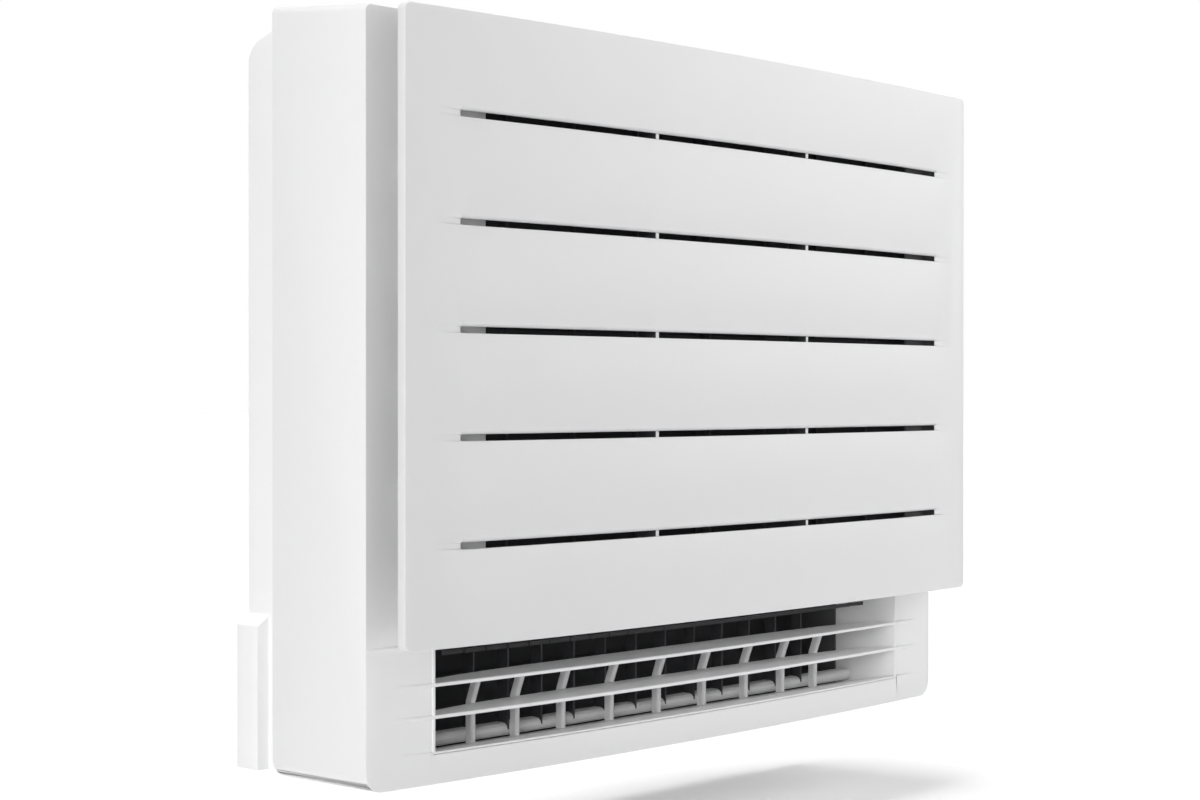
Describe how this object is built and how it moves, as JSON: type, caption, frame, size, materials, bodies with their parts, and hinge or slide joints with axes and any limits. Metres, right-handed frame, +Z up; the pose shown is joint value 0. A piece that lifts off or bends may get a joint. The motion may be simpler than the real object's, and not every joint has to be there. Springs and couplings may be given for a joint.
{
  "type": "floor-ceiling air conditioner indoor unit",
  "caption": "Low upright indoor air unit with a flat slotted front panel on a hinge, a ribbed lower outlet, a flap-covered top outlet, a turbo fan and a coil.",
  "frame": {"origin": "under the middle of the unit, at the height of its lowest edge", "axes": "+Z up, front panel towards -Y, +X to the right for someone facing the front"},
  "size_m": [0.75, 0.238, 0.6],
  "materials": {
    "white_plastic": "satin moulded plastic, near white",
    "pale_plastic": "matt moulded plastic, pale grey",
    "grey_plastic": "matt moulded plastic, mid grey",
    "dark_plastic": "matt moulded plastic, near black",
    "dark_net": "fine plastic net in a moulded frame",
    "fin_aluminium": "thin mill-finish fins",
    "zinc_steel": "zinc-coated steel sheet",
    "copper": "bare copper tube",
    "brass": "turned brass",
    "rubber": "black rubber",
    "board_green": "green lacquered circuit board",
    "lens": "smoked gloss plastic"
  },
  "bodies": {
    "cabinet": {"front_casing": "white_plastic", "rear_frame": "white_plastic", "intake_frame": "pale_plastic", "air_filter_right": "dark_net", "air_filter_left": "dark_net", "purifying_filter_right": "dark_plastic", "purifying_filter_left": "dark_plastic", "panel_catch_right": "pale_plastic", "panel_catch_left": "pale_plastic", "lower_grille": "white_plastic", "lower_vanes": "dark_plastic", "lower_damper_motor": "grey_plastic", "upper_outlet_frame": "pale_plastic", "upper_flap_motor": "grey_plastic", "coil_fins": "fin_aluminium", "coil_end_right": "zinc_steel", "coil_end_left": "zinc_steel", "gas_pipe": "copper", "liquid_pipe": "copper", "gas_flare_nut": "brass", "liquid_flare_nut": "brass", "drain_pan": "grey_plastic", "bell_mouth": "grey_plastic", "fan_motor": "zinc_steel", "motor_cushion": "rubber", "control_box": "zinc_steel", "control_cover": "zinc_steel", "control_board": "board_green", "terminal_block": "dark_plastic", "display_module": "pale_plastic", "display_lens": "lens", "outlet_switch_base": "dark_plastic"},
    "panel": {"front_panel": "white_plastic"},
    "outlet_flap": {"upper_flap": "white_plastic"},
    "damper": {"lower_damper": "pale_plastic"},
    "fan": {"turbo_fan": "grey_plastic", "fan_shaft": "zinc_steel", "fan_nut": "zinc_steel"},
    "button": {"power_button": "pale_plastic"},
    "switch": {"outlet_switch": "pale_plastic"},
    "link_left": {"blade_link_left": "grey_plastic"},
    "link_right": {"blade_link_right": "grey_plastic"},
    "blade_1": {"upper_blade_1": "pale_plastic"},
    "blade_2": {"upper_blade_2": "pale_plastic"},
    "blade_3": {"upper_blade_3": "pale_plastic"},
    "blade_4": {"upper_blade_4": "pale_plastic"},
    "blade_5": {"upper_blade_5": "pale_plastic"},
    "blade_6": {"upper_blade_6": "pale_plastic"},
    "blade_7": {"upper_blade_7": "pale_plastic"},
    "blade_8": {"upper_blade_8": "pale_plastic"}
  },
  "joints": [
    {"name": "panel_hinge", "type": "hinge", "parent": "cabinet", "child": "panel", "pos_m": [0, -0.081, 0.124], "axis": [1, 0, 0], "range_deg": [0, 30]},
    {"name": "upper_flap_hinge", "type": "hinge", "parent": "cabinet", "child": "outlet_flap", "pos_m": [0, 0.0263, 0.5912], "axis": [-1, 0, 0], "range_deg": [0, 70]},
    {"name": "lower_damper_hinge", "type": "hinge", "parent": "cabinet", "child": "damper", "pos_m": [0, 0.006, 0.01785], "axis": [1, 0, 0], "range_deg": [0, 62]},
    {"name": "fan_spin", "type": "hinge", "parent": "cabinet", "child": "fan", "pos_m": [0, 0.05, 0.318], "axis": [0, 1, 0], "continuous": true},
    {"name": "power_button_press", "type": "slide", "parent": "cabinet", "child": "button", "axis": [0, 0, -1], "range_m": [0, 0.0015], "stiffness_N_per_m": 400},
    {"name": "outlet_switch_slide", "type": "slide", "parent": "cabinet", "child": "switch", "axis": [0, 0, 1], "range_m": [0, 0.006]},
    {"name": "blade_1_turn", "type": "hinge", "parent": "cabinet", "child": "blade_1", "pos_m": [-0.245, 0.0011, 0.55], "axis": [0, 0, 1], "range_deg": [-25, 25]},
    {"name": "blade_2_turn", "type": "hinge", "parent": "cabinet", "child": "blade_2", "pos_m": [-0.175, 0.0011, 0.55], "axis": [0, 0, 1], "range_deg": [-25, 25]},
    {"name": "blade_3_turn", "type": "hinge", "parent": "cabinet", "child": "blade_3", "pos_m": [-0.105, 0.0011, 0.55], "axis": [0, 0, 1], "range_deg": [-25, 25]},
    {"name": "blade_4_turn", "type": "hinge", "parent": "cabinet", "child": "blade_4", "pos_m": [-0.035, 0.0011, 0.55], "axis": [0, 0, 1], "range_deg": [-25, 25]},
    {"name": "blade_5_turn", "type": "hinge", "parent": "cabinet", "child": "blade_5", "pos_m": [0.035, 0.0011, 0.55], "axis": [0, 0, 1], "range_deg": [-25, 25]},
    {"name": "blade_6_turn", "type": "hinge", "parent": "cabinet", "child": "blade_6", "pos_m": [0.105, 0.0011, 0.55], "axis": [0, 0, 1], "range_deg": [-25, 25]},
    {"name": "blade_7_turn", "type": "hinge", "parent": "cabinet", "child": "blade_7", "pos_m": [0.175, 0.0011, 0.55], "axis": [0, 0, 1], "range_deg": [-25, 25]},
    {"name": "blade_8_turn", "type": "hinge", "parent": "cabinet", "child": "blade_8", "pos_m": [0.245, 0.0011, 0.55], "axis": [0, 0, 1], "range_deg": [-25, 25]},
    {"name": "link_left_slide", "type": "slide", "parent": "cabinet", "child": "link_left", "axis": [1, 0, 0], "range_m": [-0.009, 0.009]},
    {"name": "link_right_slide", "type": "slide", "parent": "cabinet", "child": "link_right", "axis": [1, 0, 0], "range_m": [-0.009, 0.009]}
  ],
  "couplings": [
    {"joint": "blade_2_turn", "follows": "blade_1_turn", "ratio": 1},
    {"joint": "blade_3_turn", "follows": "blade_1_turn", "ratio": 1},
    {"joint": "blade_4_turn", "follows": "blade_1_turn", "ratio": 1},
    {"joint": "link_left_slide", "follows": "blade_1_turn", "m_per_rad": -0.02},
    {"joint": "blade_6_turn", "follows": "blade_5_turn", "ratio": 1},
    {"joint": "blade_7_turn", "follows": "blade_5_turn", "ratio": 1},
    {"joint": "blade_8_turn", "follows": "blade_5_turn", "ratio": 1},
    {"joint": "link_right_slide", "follows": "blade_5_turn", "m_per_rad": -0.02}
  ]
}
